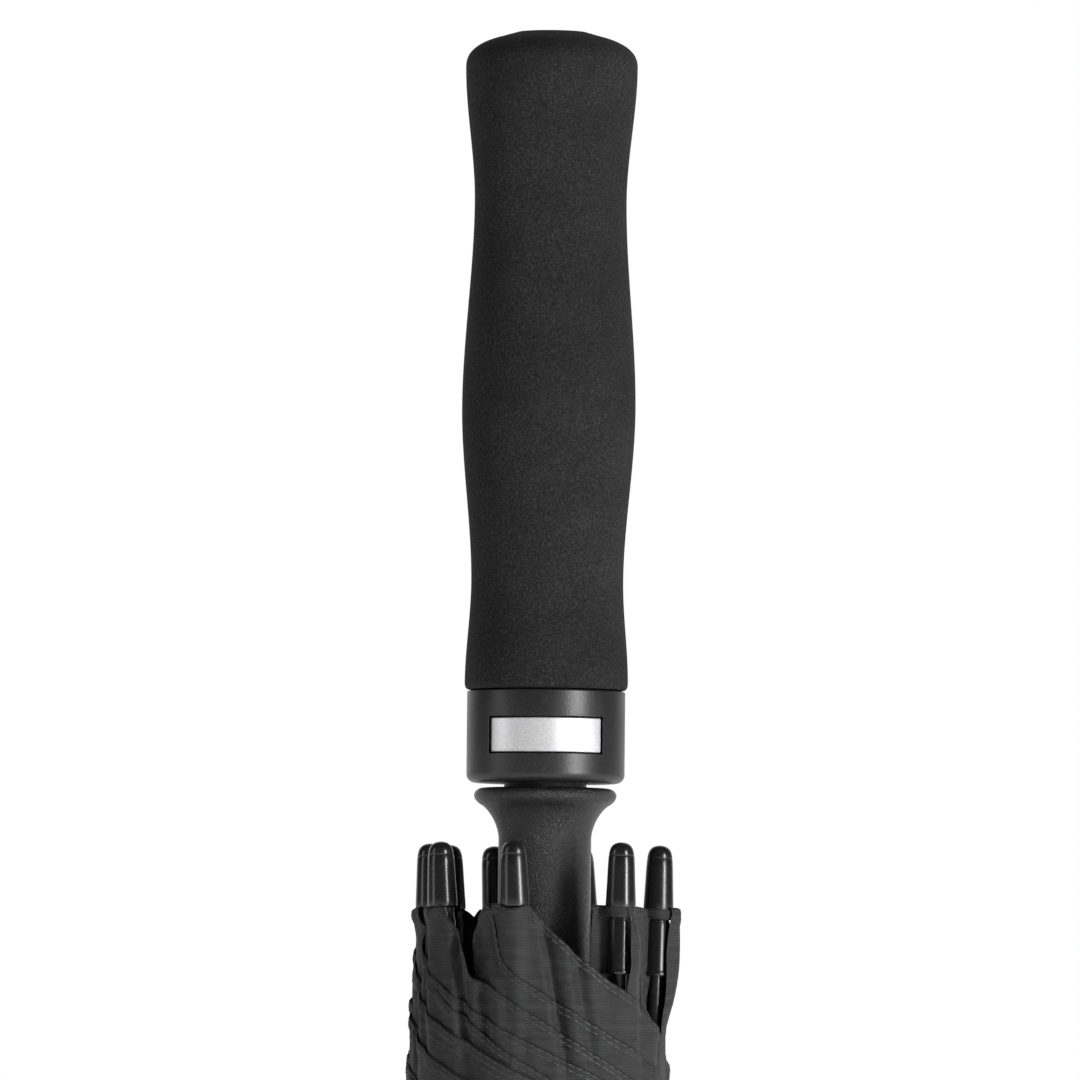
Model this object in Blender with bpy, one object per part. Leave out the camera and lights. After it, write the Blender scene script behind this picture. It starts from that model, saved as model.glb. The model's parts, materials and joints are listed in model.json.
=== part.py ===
"""Golf umbrella, closed and furled, standing on its ferrule with the handle up.

Origin: the middle of the ferrule's flat end. +Z runs along the shaft to the handle, and
-Y is the side of the release button. Everything is in metres; MM turns millimetres into them.

The eight ribs hinge on the crown and the eight stretchers join each rib to the runner. A
stretcher is as long as the piece of rib below its pivot, so that crown pivot, rib pivot and
runner pivot make an isosceles triangle at every stage of opening.
"""

import math

import bmesh
import bpy
import numpy as np
from mathutils import Matrix, Vector

MM = 0.001

# Driving dimensions
TOTAL_LENGTH = 990 * MM
RIB_COUNT = 8
RIB_LENGTH = 722 * MM  # from the crown pivot to the end of the tip
CROWN_PIVOT_Z = 80 * MM
RUNNER_PIVOT_Z = 740 * MM
PIVOT_RADIUS = 11 * MM  # of the rings of pivots on the crown and on the runner
TIP_RADIUS = 27 * MM  # of the ring of tips round the furled umbrella
OPEN_ANGLE = math.radians(72)  # between a rib and the shaft, open
SHAFT_RADIUS = 7 * MM
BORE_RADIUS = 5.5 * MM
RUNNING_GAP = 0.3 * MM
# How far round the shaft each tip has been pushed by the furling, from its own rib's plane.
TIP_TURN_DEG = (-15.5, -4.0, 8.0, 27.0, 26.0, 10.0, -10.0, -18.0)

# Derived places
CLOSED_ANGLE = math.asin((TIP_RADIUS - PIVOT_RADIUS) / RIB_LENGTH)
STRETCHER_LENGTH = (RUNNER_PIVOT_Z - CROWN_PIVOT_Z) / (2 * math.cos(CLOSED_ANGLE))
RUNNER_TRAVEL = 2 * STRETCHER_LENGTH * (math.cos(CLOSED_ANGLE) - math.cos(OPEN_ANGLE))
RIB_AZIMUTHS = [-math.pi / 2 + k * math.tau / RIB_COUNT for k in range(RIB_COUNT)]
HALF_STEP = math.pi / RIB_COUNT


def below_top(distance):
    """The height of a place given by its distance under the top of the grip, in millimetres."""
    return TOTAL_LENGTH - distance * MM


GRIP_BOTTOM_Z = below_top(152.6)
COLLAR_TOP_Z = below_top(152.9)
COLLAR_BOTTOM_Z = below_top(174.1)
WINDOW_TOP_Z = below_top(159.1)
WINDOW_BOTTOM_Z = below_top(167.7)
FLANGE_TOP_Z = below_top(175.3)

# Handle
GRIP_BORE_RADIUS = 11.8 * MM
CORE_RADIUS = 11.5 * MM
CORE_FLANGE_RADIUS = 16.0 * MM
COLLAR_RADIUS = 18.3 * MM
COLLAR_WALL = 2.0 * MM
WINDOW_HALF_WIDTH = 13.1 * MM
BUTTON_RADIUS = 17.6 * MM
BUTTON_THICKNESS = 2.2 * MM
PLATE_Z = (824.1 * MM, 825.9 * MM)
PIN_Z = 972 * MM

# Runner
NECK_RADIUS = 9.54 * MM
GROOVE_RADIUS = 8.2 * MM
TUBE_RADIUS = 10.73 * MM
FLANGE_RADIUS = 16.5 * MM
HINGE_RING_RADIUS = 14.6 * MM
SLEEVE_BORE = SHAFT_RADIUS + RUNNING_GAP
DRIVER_Z = 790 * MM

# Ribs and stretchers
ROD_RADIUS = 1.6 * MM
TANG_HALF_WIDTH = 0.9 * MM
EYE_RADIUS = 2.4 * MM
WIRE_RADIUS = 0.6 * MM
EYE_HOLE_RADIUS = 0.95 * MM
SLOT_HALF_WIDTH = 1.3 * MM
RIVET_RADIUS = 0.8 * MM
CHANNEL_INNER = 2.1 * MM
CHANNEL_OUTER = 2.7 * MM

# Cloth
CLOTH_THICKNESS = 0.7 * MM
CLOTH_GAP = 0.35 * MM
CLOTH_CLEARANCE = 2.1 * MM  # from a rib's middle line to the inside of the roll
CLOTH_BOTTOM_Z = 88 * MM
CLOTH_TOP_Z = 770 * MM
CLOTH_STEP = math.radians(11.25)
CLOTH_STEPS = 7
HEM_DROP = 33 * MM
STRAP_Z = (600 * MM, 625 * MM)


# Materials

FINISHES = {  # colour, roughness, metallic
    "foam": ((0.035, 0.035, 0.037), 0.85, 0.0),
    "black_plastic": ((0.02, 0.02, 0.021), 0.45, 0.0),
    "gloss_plastic": ((0.012, 0.012, 0.012), 0.22, 0.0),
    "silver": ((0.72, 0.72, 0.73), 0.35, 1.0),
    "steel": ((0.42, 0.42, 0.43), 0.35, 1.0),
    "fibreglass": ((0.015, 0.015, 0.016), 0.4, 0.0),
    "cloth": ((0.045, 0.046, 0.05), 0.8, 0.0),
}


def make_material(name):
    colour, roughness, metallic = FINISHES[name]
    material = bpy.data.materials.new(name)
    material.use_nodes = True
    shader = material.node_tree.nodes["Principled BSDF"]
    shader.inputs["Base Color"].default_value = (*colour, 1.0)
    shader.inputs["Roughness"].default_value = roughness
    shader.inputs["Metallic"].default_value = metallic
    return material


# Mesh makers


def to_mesh(bm):
    bmesh.ops.recalc_face_normals(bm, faces=bm.faces)
    mesh = bpy.data.meshes.new("shape")
    bm.to_mesh(mesh)
    bm.free()
    return mesh


def turned(profile, sides=24, start=0.0, span=math.tau):
    """Turns a profile of (radius, height) points about Z. A profile that starts and ends on the
    axis makes a solid, and any other profile is taken as a closed loop. A span under a whole
    turn is closed with flat ends."""
    bm = bmesh.new()
    whole = span > math.tau - 1e-6
    on_axis = profile[0][0] == 0 and profile[-1][0] == 0
    angles = [start + span * k / sides for k in range(sides if whole else sides + 1)]
    columns = []
    poles = {i: bm.verts.new((0, 0, z)) for i, (r, z) in enumerate(profile) if r == 0}
    for angle in angles:
        column = []
        for i, (radius, height) in enumerate(profile):
            place = (radius * math.cos(angle), radius * math.sin(angle), height)
            column.append(poles[i] if i in poles else bm.verts.new(place))
        columns.append(column)
    rows = len(profile) - 1 if on_axis else len(profile)
    for k in range(len(angles) if whole else len(angles) - 1):
        near, far = columns[k], columns[(k + 1) % len(columns)]
        for i in range(rows):
            j = (i + 1) % len(profile)
            corners = [near[i], far[i], far[j], near[j]]
            face = [v for n, v in enumerate(corners) if v not in corners[:n]]
            if len(face) > 2:
                bm.faces.new(face)
    if not whole:
        bm.faces.new(columns[0])
        bm.faces.new(columns[-1])
    return to_mesh(bm)


def cylinder(radius, low, high, sides=16):
    return turned([(0, low), (radius, low), (radius, high), (0, high)], sides)


def box(low, high):
    bm = bmesh.new()
    bmesh.ops.create_cube(bm, size=1)
    for vert in bm.verts:
        vert.co = [(a + b) / 2 + (b - a) * c for a, b, c in zip(low, high, vert.co)]
    return to_mesh(bm)


def along_x(radius, reach, height, sides=12):
    """A round bar along X at a height."""
    mesh = cylinder(radius, -reach, reach, sides)
    mesh.transform(Matrix.Translation((0, 0, height)) @ Matrix.Rotation(math.pi / 2, 4, "Y"))
    return mesh


def swept(points, radius, sides):
    """A round bar with flat ends along a line of points."""
    line = [Vector(p) for p in points]
    bm = bmesh.new()
    rings = []
    across = None
    for i, point in enumerate(line):
        ahead = (line[min(i + 1, len(line) - 1)] - line[max(i - 1, 0)]).normalized()
        across = across or ahead.orthogonal()
        across = (across - ahead * across.dot(ahead)).normalized()
        side = ahead.cross(across)
        ring = []
        for k in range(sides):
            angle = math.tau * (k + 0.5) / sides
            offset = across * math.cos(angle) + side * math.sin(angle)
            ring.append(bm.verts.new(point + radius * offset))
        rings.append(ring)
    for near, far in zip(rings, rings[1:]):
        for k in range(sides):
            bm.faces.new([near[k], near[(k + 1) % sides], far[(k + 1) % sides], far[k]])
    bm.faces.new(rings[0])
    bm.faces.new(rings[-1])
    return to_mesh(bm)


def coil(mean_radius, wire_radius, low, high, turns, steps_per_turn, sides):
    """A coil spring along Z."""
    count = turns * steps_per_turn
    points = []
    for k in range(count + 1):
        angle = math.tau * k / steps_per_turn
        height = low + wire_radius + (high - low - 2 * wire_radius) * k / count
        points.append((mean_radius * math.cos(angle), mean_radius * math.sin(angle), height))
    return swept(points, wire_radius, sides)


def extruded(outline, half_width):
    """A flat plate from an outline in the XZ plane, half_width to each side of it."""
    bm = bmesh.new()
    face = bm.faces.new([bm.verts.new((x, -half_width, z)) for x, z in outline])
    moved = bmesh.ops.extrude_face_region(bm, geom=[face])["geom"]
    for vert in [v for v in moved if isinstance(v, bmesh.types.BMVert)]:
        vert.co.y = half_width
    return to_mesh(bm)


def grid_solid(inner, outer):
    """A closed shell between two grids of points of the same size."""
    rows, columns = len(inner), len(inner[0])
    bm = bmesh.new()
    low = [[bm.verts.new(p) for p in row] for row in inner]
    high = [[bm.verts.new(p) for p in row] for row in outer]
    for grid in (low, high):
        for i in range(rows - 1):
            for j in range(columns - 1):
                bm.faces.new([grid[i][j], grid[i + 1][j], grid[i + 1][j + 1], grid[i][j + 1]])
    border = [(0, j) for j in range(columns)]
    border += [(i, columns - 1) for i in range(1, rows)]
    border += [(rows - 1, j) for j in range(columns - 2, -1, -1)]
    border += [(i, 0) for i in range(rows - 2, 0, -1)]
    for (i, j), (m, n) in zip(border, border[1:] + border[:1]):
        bm.faces.new([low[i][j], low[m][n], high[m][n], high[i][j]])
    return to_mesh(bm)


def combined(base, others, operation):
    """base with the other meshes joined to it (UNION) or cut from it (DIFFERENCE)."""
    work = bpy.data.objects.new("work", base)
    helpers = [bpy.data.objects.new("helper", other) for other in others]
    for item in [work, *helpers]:
        bpy.context.collection.objects.link(item)
    for helper in helpers:
        step = work.modifiers.new("step", "BOOLEAN")
        step.operation = operation
        step.object = helper
    evaluated = work.evaluated_get(bpy.context.evaluated_depsgraph_get())
    result = bpy.data.meshes.new_from_object(evaluated)
    for item in [work, *helpers]:
        bpy.data.objects.remove(item)
    return result


def add_piece(name, mesh, material, place=None, parent=None):
    """Puts a mesh into the scene as one named piece. place is a matrix, under parent's if given."""
    mesh.name = name
    mesh.materials.clear()
    mesh.materials.append(material)
    mesh.shade_smooth()
    mesh.set_sharp_from_angle(angle=math.radians(35))
    piece = bpy.data.objects.new(name, mesh)
    bpy.context.collection.objects.link(piece)
    piece.parent = parent
    piece.matrix_basis = place or Matrix.Identity(4)
    return piece


def add_origin(name, place):
    """An empty that holds the pieces of one moving body."""
    empty = bpy.data.objects.new(name, None)
    bpy.context.collection.objects.link(empty)
    empty.matrix_basis = place
    return empty


# Handle


def smooth_between(knots, steps):
    """Points on a curve that is level across each knot and smooth between them."""
    points = []
    for (r0, z0), (r1, z1) in zip(knots, knots[1:]):
        for k in range(steps):
            t = k / steps
            ease = t * t * (3 - 2 * t)
            points.append((r0 + (r1 - r0) * ease, z0 + (z1 - z0) * t))
    return [*points, knots[-1]]


def grip_profile():
    """Half of the grip's outline: domed top, waist, belly, waist and a flared foot."""
    top_radius = 19.9 * MM
    dome_height = 8.1 * MM
    dome_power = 2.35
    flat_radius = 8.0 * MM
    dome = [(flat_radius, TOTAL_LENGTH)]
    for degrees in (38, 52, 64, 75, 84):
        across = math.sin(math.radians(degrees)) ** (2 / dome_power)
        up = math.cos(math.radians(degrees)) ** (2 / dome_power)
        dome.append((top_radius * across, TOTAL_LENGTH - dome_height * (1 - up)))
    body = smooth_between(
        [
            (top_radius, below_top(8.1)),
            (17.6 * MM, below_top(39.1)),
            (20.1 * MM, below_top(87.3)),
            (17.6 * MM, below_top(127.5)),
            (18.9 * MM, below_top(151.2)),
        ],
        4,
    )
    foot = [(18.4 * MM, GRIP_BOTTOM_Z), (GRIP_BORE_RADIUS, GRIP_BOTTOM_Z)]
    bore_top = TOTAL_LENGTH - 9 * MM
    return [(0, TOTAL_LENGTH), *dome, *body, *foot, (GRIP_BORE_RADIUS, bore_top), (0, bore_top)]


def add_handle(materials):
    add_piece("grip", turned(grip_profile(), 24), materials["foam"])
    core_foot = COLLAR_TOP_Z - 3.8 * MM
    core_step = COLLAR_TOP_Z - 0.5 * MM
    core = turned(
        [
            (SLEEVE_BORE, core_foot),
            (CORE_FLANGE_RADIUS, core_foot),
            (CORE_FLANGE_RADIUS, core_step),
            (CORE_RADIUS, core_step),
            (CORE_RADIUS, TOTAL_LENGTH - 10 * MM),
            (SLEEVE_BORE, TOTAL_LENGTH - 10 * MM),
        ]
    )
    pin_hole = along_x(1.8 * MM, 20 * MM, PIN_Z)
    add_piece("handle_core", combined(core, [pin_hole], "DIFFERENCE"), materials["black_plastic"])
    add_piece("handle_pin", along_x(1.5 * MM, 11.2 * MM, PIN_Z), materials["steel"])
    plug = cylinder(BORE_RADIUS - RUNNING_GAP, PIN_Z - 6 * MM, PIN_Z + 6 * MM)
    add_piece("spring_plug", combined(plug, [pin_hole], "DIFFERENCE"), materials["black_plastic"])
    add_collar(materials)
    add_button(materials)


def add_collar(materials):
    inner = COLLAR_RADIUS - COLLAR_WALL
    floor = COLLAR_BOTTOM_Z + 1.5 * MM
    edge = 2.0 * MM
    rounded = []
    for degrees in (0, 30, 60, 90):
        turn = math.radians(degrees)
        radius = COLLAR_RADIUS - edge * (1 - math.sin(turn))
        rounded.append((radius, COLLAR_BOTTOM_Z + edge * (1 - math.cos(turn))))
    mouth = NECK_RADIUS + 0.6 * MM
    profile = [(mouth, COLLAR_BOTTOM_Z), *rounded, (COLLAR_RADIUS, COLLAR_TOP_Z)]
    profile += [(inner, COLLAR_TOP_Z), (inner, floor), (mouth, floor)]
    window = box(
        (-WINDOW_HALF_WIDTH, -2 * COLLAR_RADIUS, WINDOW_BOTTOM_Z),
        (WINDOW_HALF_WIDTH, 0, WINDOW_TOP_Z),
    )
    collar = combined(turned(profile, 48), [window], "DIFFERENCE")
    add_piece("handle_collar", collar, materials["black_plastic"])


def add_button(materials):
    """The button, the catch plate behind it and the spring that pushes both out."""
    half = math.asin((WINDOW_HALF_WIDTH - RUNNING_GAP) / BUTTON_RADIUS)
    inner = BUTTON_RADIUS - BUTTON_THICKNESS
    low, high = WINDOW_BOTTOM_Z + RUNNING_GAP, WINDOW_TOP_Z - RUNNING_GAP
    face = [(inner, low), (BUTTON_RADIUS, low), (BUTTON_RADIUS, high), (inner, high)]
    button = turned(face, 14, -math.pi / 2 - half, 2 * half)
    add_piece("release_button", button, materials["silver"])
    add_piece("catch_plate", catch_plate_mesh(), materials["steel"])
    spring = coil(1.5 * MM, 0.3 * MM, 12.6 * MM, 15.9 * MM, 4, 8, 4)
    spring.transform(Matrix.Rotation(-math.pi / 2, 4, "X"))
    height = Matrix.Translation((0, 0, sum(PLATE_Z) / 2))
    add_piece("button_spring", spring, materials["steel"], height)


def catch_plate_mesh():
    """A ring round the runner's neck. Its far edge sits in the neck's groove, and a tongue
    reaches the back of the button."""
    hole_radius, hole_y = 10.2 * MM, -1.7 * MM
    rim_radius, rim_y = 13.2 * MM, -1.0 * MM
    tongue_radius = 14.0 * MM
    sides = 32
    inner, outer = [], []
    for k in range(sides + 1):
        angle = math.tau * k / sides
        across, along = math.cos(angle), math.sin(angle)
        rim = tongue_radius if along < -0.9 else rim_radius
        for points, radius, middle in ((inner, hole_radius, hole_y), (outer, rim, rim_y)):
            points.append([(radius * across, middle + radius * along, z) for z in PLATE_Z])
    bm = bmesh.new()
    rings = []
    for k in range(sides):
        rings.append([bm.verts.new(p) for p in (*inner[k], *reversed(outer[k]))])
    for k in range(sides):
        near, far = rings[k], rings[(k + 1) % sides]
        for i in range(4):
            bm.faces.new([near[i], far[i], far[(i + 1) % 4], near[(i + 1) % 4]])
    return to_mesh(bm)


# Shaft, crown and ferrule


def add_shaft(materials):
    top, foot = TOTAL_LENGTH - 11 * MM, 20.5 * MM
    tube = [(BORE_RADIUS, foot), (SHAFT_RADIUS, foot), (SHAFT_RADIUS, top), (BORE_RADIUS, top)]
    slot_half_width = 1.7 * MM
    slot = box(
        (-2 * SHAFT_RADIUS, -slot_half_width, DRIVER_Z - RUNNER_TRAVEL - 4 * MM),
        (2 * SHAFT_RADIUS, slot_half_width, DRIVER_Z + 4.5 * MM),
    )
    handle_hole = along_x(1.8 * MM, 20 * MM, PIN_Z)
    cutters = [slot, handle_hole, crown_pin_bar(1.3 * MM, 20 * MM)]
    add_piece("shaft", combined(turned(tube, 24), cutters, "DIFFERENCE"), materials["fibreglass"])
    spring = coil(4.3 * MM, 0.6 * MM, DRIVER_Z + 4.5 * MM, PIN_Z - 6.5 * MM, 12, 8, 3)
    add_piece("opening_spring", spring, materials["steel"])


def crown_pin_bar(radius, reach):
    """A bar through the crown, between two of its slots."""
    bar = along_x(radius, reach, CROWN_PIVOT_Z - 5.5 * MM, 10)
    bar.transform(Matrix.Rotation(HALF_STEP, 4, "Z"))
    return bar


def hinge_slots(low, high):
    """A cutter for each rib's slot, from just outside the sleeve's bore outwards."""
    slots = []
    for azimuth in RIB_AZIMUTHS:
        slot = box(
            (PIVOT_RADIUS - EYE_RADIUS - RUNNING_GAP, -SLOT_HALF_WIDTH, low),
            (2 * PIVOT_RADIUS, SLOT_HALF_WIDTH, high),
        )
        slot.transform(Matrix.Rotation(azimuth, 4, "Z"))
        slots.append(slot)
    return slots


def hinge_wire(height):
    """The ring of wire that the eyes hang on."""
    loop = []
    for k in range(5):
        angle = math.tau * k / 5
        loop.append((PIVOT_RADIUS + WIRE_RADIUS * math.cos(angle),
                     height + WIRE_RADIUS * math.sin(angle)))
    return turned(loop, 24)


def groove(height, outer):
    """The points of a groove for the hinge wire, from the bottom up, in a turned profile."""
    half, depth = 1.0 * MM, PIVOT_RADIUS - 1.0 * MM
    return [(outer, height - half), (depth, height - half), (depth, height + half),
            (outer, height + half)]


def add_crown(materials):
    outer, low, high = 15 * MM, CROWN_PIVOT_Z - 10 * MM, CROWN_PIVOT_Z + 6 * MM
    profile = [(SLEEVE_BORE, low), (outer, low), *groove(CROWN_PIVOT_Z, outer), (outer, high)]
    profile.append((SLEEVE_BORE, high))
    cutters = hinge_slots(CROWN_PIVOT_Z - 6.5 * MM, high + 10 * MM)
    cutters.append(crown_pin_bar(1.3 * MM, 20 * MM))
    crown = combined(turned(profile, 24), cutters, "DIFFERENCE")
    add_piece("crown", crown, materials["black_plastic"])
    add_piece("crown_wire", hinge_wire(CROWN_PIVOT_Z), materials["steel"])
    add_piece("crown_pin", crown_pin_bar(1.0 * MM, 14 * MM), materials["steel"])


def add_ferrule(materials):
    top = 63.5 * MM
    bore_floor = 20 * MM
    outline = [(4.0, 0), (5.2, 1.2), (5.8, 8), (6.8, 25), (9.2, 52), (11.5, 58), (11.5, 63.5)]
    outer = [(r * MM, z * MM) for r, z in outline]
    bore = [(SLEEVE_BORE, top), (SLEEVE_BORE, bore_floor + 0.2 * MM), (0, bore_floor)]
    # The wall is thicker than the bore from 45 mm up, and a closed spigot fills the tip.
    narrow = [(r, z) for r, z in outer if z < bore_floor or r > SLEEVE_BORE + 0.5 * MM]
    body = [(0, 0), *narrow[:3], (SLEEVE_BORE + 0.9 * MM, bore_floor), *narrow[3:], *bore]
    add_piece("ferrule", turned(body, 24), materials["black_plastic"])
    rosette_low = top + RUNNING_GAP
    rosette = [(SLEEVE_BORE, rosette_low), (13.6 * MM, rosette_low)]
    rosette += [(14 * MM, rosette_low + 0.8 * MM), (13 * MM, rosette_low + 1.8 * MM)]
    rosette += [(SLEEVE_BORE, rosette_low + 1.8 * MM)]
    add_piece("rosette", turned(rosette), materials["black_plastic"])


# Runner


def runner_profile():
    """The runner's outline: hinge ring, tube, flare, flange, neck, groove and head."""
    foot = RUNNER_PIVOT_Z - 7 * MM
    ring_top = RUNNER_PIVOT_Z + 12.5 * MM
    points = [(SLEEVE_BORE, foot), (HINGE_RING_RADIUS, foot)]
    points += groove(RUNNER_PIVOT_Z, HINGE_RING_RADIUS)
    points += [(HINGE_RING_RADIUS, ring_top), (TUBE_RADIUS, ring_top + 4.5 * MM)]
    flare_low, flare_high = below_top(186.8), below_top(178.6)
    flare_power = 1.65
    flare_width = FLANGE_RADIUS - 0.2 * MM - TUBE_RADIUS
    for t in (0, 0.3, 0.55, 0.75, 0.9, 1.0):
        across = 1 - (1 - t**flare_power) ** (1 / flare_power)
        height = flare_low + (flare_high - flare_low) * t
        points.append((TUBE_RADIUS + flare_width * across, height))
    points += [(FLANGE_RADIUS, below_top(177.3)), (16.1 * MM, below_top(176.0))]
    points += [(15.2 * MM, FLANGE_TOP_Z), (NECK_RADIUS, FLANGE_TOP_Z)]
    catch = sum(PLATE_Z) / 2
    points += [(NECK_RADIUS, catch - 1.5 * MM), (GROOVE_RADIUS, catch - 1.5 * MM)]
    points += [(GROOVE_RADIUS, catch + 1.5 * MM), (NECK_RADIUS, catch + 1.5 * MM)]
    points += [(NECK_RADIUS, catch + 2.9 * MM), (8.4 * MM, catch + 4.2 * MM)]
    return [*points, (SLEEVE_BORE, catch + 4.2 * MM)]


def add_runner(materials):
    place = Matrix.Translation((0, 0, RUNNER_PIVOT_Z))
    origin = add_origin("runner_origin", place)
    cutters = hinge_slots(RUNNER_PIVOT_Z - 20 * MM, RUNNER_PIVOT_Z + 6.5 * MM)
    cutters.append(along_x(1.8 * MM, 20 * MM, DRIVER_Z))
    runner = combined(turned(runner_profile(), 24), cutters, "DIFFERENCE")
    piston = cylinder(BORE_RADIUS - 0.4 * MM, DRIVER_Z - 4 * MM, DRIVER_Z + 4 * MM)
    driver = combined(piston, [along_x(1.4 * MM, 10.4 * MM, DRIVER_Z)], "UNION")
    parts = {
        "runner": (runner, "black_plastic"),
        "runner_wire": (hinge_wire(RUNNER_PIVOT_Z), "steel"),
        "driver": (driver, "steel"),
    }
    for name, (mesh, finish) in parts.items():
        mesh.transform(place.inverted())
        add_piece(name, mesh, materials[finish], None, origin)


# Ribs and stretchers


def eye_mesh(reach, up):
    """A flat eye at the origin with a tang that runs along Z, up or down, for reach."""
    outline = [(-ROD_RADIUS, reach), (-ROD_RADIUS, 1.8 * MM)]
    for k in range(1, 10):
        angle = math.radians(132 + 276 * k / 10)
        outline.append((EYE_RADIUS * math.cos(angle), EYE_RADIUS * math.sin(angle)))
    outline += [(ROD_RADIUS, 1.8 * MM), (ROD_RADIUS, reach)]
    plate = extruded(outline, TANG_HALF_WIDTH)
    hole = cylinder(EYE_HOLE_RADIUS, -5 * MM, 5 * MM, 8)
    hole.transform(Matrix.Rotation(math.pi / 2, 4, "X"))
    eye = combined(plate, [hole], "DIFFERENCE")
    if not up:
        eye.transform(Matrix.Rotation(math.pi, 4, "Y"))
    return eye


def rib_line(index, along):
    """A point on a rib's middle line, in the rib's own frame: X outwards, Z along the rib. Past
    the stretcher the rib bends sideways, to where the furling holds its tip."""
    turn = math.radians(TIP_TURN_DEG[index])
    share = max(0.0, (along - STRETCHER_LENGTH - 20 * MM) / (RIB_LENGTH - STRETCHER_LENGTH))
    bend = share * share * (TIP_RADIUS / 0.9)
    return Vector((-bend * (1 - math.cos(turn)), bend * math.sin(turn), along))


def rib_mesh(index):
    """Eye and tang at the crown, a round rod, and a boss with a rivet for the stretcher."""
    stations = [8 * MM, STRETCHER_LENGTH + 20 * MM, *np.linspace(0.47, 0.714, 4)]
    rod = swept([rib_line(index, s) for s in stations], ROD_RADIUS, 6)
    boss = cylinder(1.75 * MM, STRETCHER_LENGTH - 5 * MM, STRETCHER_LENGTH + 5 * MM, 8)
    rivet = cylinder(RIVET_RADIUS, -3.1 * MM, 3.1 * MM, 6)
    rivet.transform(
        Matrix.Translation((0, 0, STRETCHER_LENGTH)) @ Matrix.Rotation(math.pi / 2, 4, "X")
    )
    return combined(eye_mesh(12 * MM, True), [rod, boss, rivet], "UNION")


def tip_mesh(index):
    """The domed cap on a rib's end, with the sleeve below it that the cloth is tied to."""
    outline = [  # radius and distance from the very end, in millimetres
        (1.7, 0.25), (2.6, 1.3), (3.0, 3.2), (3.5, 14.6), (2.6, 15.2), (2.6, 17.6),
        (2.9, 18.2), (2.9, 29.2), (3.15, 29.7), (3.15, 30.3),
    ]
    bore, bore_end = 1.95 * MM, RIB_LENGTH - 7.5 * MM
    points = [(r * MM, RIB_LENGTH - d * MM) for r, d in outline]
    points = [(0, RIB_LENGTH), *points, (bore, points[-1][1]), (bore, bore_end), (0, bore_end)]
    tip = turned(points, 8)
    base, end = rib_line(index, RIB_LENGTH - 30 * MM), rib_line(index, RIB_LENGTH)
    lean = Vector((0, 0, 1)).rotation_difference(end - base).to_matrix().to_4x4()
    middle = Vector((0, 0, RIB_LENGTH))
    tip.transform(Matrix.Translation(end) @ lean @ Matrix.Translation(-middle))
    return tip


def stretcher_mesh():
    """A channel that the rib nests in, forked round the rib's rivet, with a flat eye on top. The
    fork has no floor, so that the rib can swing through it as the umbrella opens."""
    lip, inside, outside = 1.3 * MM, -2.2 * MM, -2.8 * MM
    section = [
        (lip, -CHANNEL_OUTER), (outside, -CHANNEL_OUTER), (outside, CHANNEL_OUTER),
        (lip, CHANNEL_OUTER), (lip, CHANNEL_INNER), (inside, CHANNEL_INNER),
        (inside, -CHANNEL_INNER), (lip, -CHANNEL_INNER),
    ]
    low, high = -3.5 * MM, STRETCHER_LENGTH - 22 * MM
    bm = bmesh.new()
    face = bm.faces.new([bm.verts.new((x, y, low)) for x, y in section])
    moved = bmesh.ops.extrude_face_region(bm, geom=[face])["geom"]
    for vert in [v for v in moved if isinstance(v, bmesh.types.BMVert)]:
        vert.co.z = high
    channel = to_mesh(bm)
    rivet_hole = cylinder(RIVET_RADIUS + RUNNING_GAP, -10 * MM, 10 * MM, 8)
    rivet_hole.transform(Matrix.Rotation(math.pi / 2, 4, "X"))
    fork = box((2 * outside, -CHANNEL_INNER, 2 * low), (inside / 2, CHANNEL_INNER, 10 * MM))
    eye = eye_mesh(16 * MM, False)
    eye.transform(Matrix.Translation((0, 0, STRETCHER_LENGTH)))
    block = box(
        (-2.2 * MM, -2.4 * MM, high - 8 * MM), (ROD_RADIUS, 2.4 * MM, high + 8 * MM)
    )
    forked = combined(channel, [rivet_hole, fork], "DIFFERENCE")
    return combined(forked, [block, eye], "UNION")


def rib_place(azimuth):
    """The rib's frame: at its crown pivot, leaning out by the closed angle."""
    pivot = Matrix.Translation((PIVOT_RADIUS, 0, CROWN_PIVOT_Z))
    lean = Matrix.Rotation(CLOSED_ANGLE, 4, "Y")
    return Matrix.Rotation(azimuth, 4, "Z") @ pivot @ lean


def stretcher_place(azimuth):
    """The stretcher's frame: at its rib pivot, leaning in by the closed angle."""
    radius = PIVOT_RADIUS + STRETCHER_LENGTH * math.sin(CLOSED_ANGLE)
    height = CROWN_PIVOT_Z + STRETCHER_LENGTH * math.cos(CLOSED_ANGLE)
    pivot = Matrix.Translation((radius, 0, height))
    lean = Matrix.Rotation(-CLOSED_ANGLE, 4, "Y")
    return Matrix.Rotation(azimuth, 4, "Z") @ pivot @ lean


def add_ribs(materials):
    stretcher = stretcher_mesh()
    for index, azimuth in enumerate(RIB_AZIMUTHS):
        number = index + 1
        place = rib_place(azimuth)
        rib = add_piece(f"rib_{number}", rib_mesh(index), materials["fibreglass"], place)
        add_piece(f"rib_tip_{number}", tip_mesh(index), materials["gloss_plastic"], None, rib)
        place = stretcher_place(azimuth)
        add_piece(f"stretcher_{number}", stretcher, materials["steel"], place)


# Cloth


def roll_radius(height):
    """The inside radius of the rolled cloth at a height."""
    lean = math.tan(CLOSED_ANGLE)
    return PIVOT_RADIUS + (height - CROWN_PIVOT_Z) * lean + CLOTH_CLEARANCE


def roll_point(azimuth, height, outwards):
    radius = roll_radius(height) + outwards
    return Vector((radius * math.cos(azimuth), radius * math.sin(azimuth), height))


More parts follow.
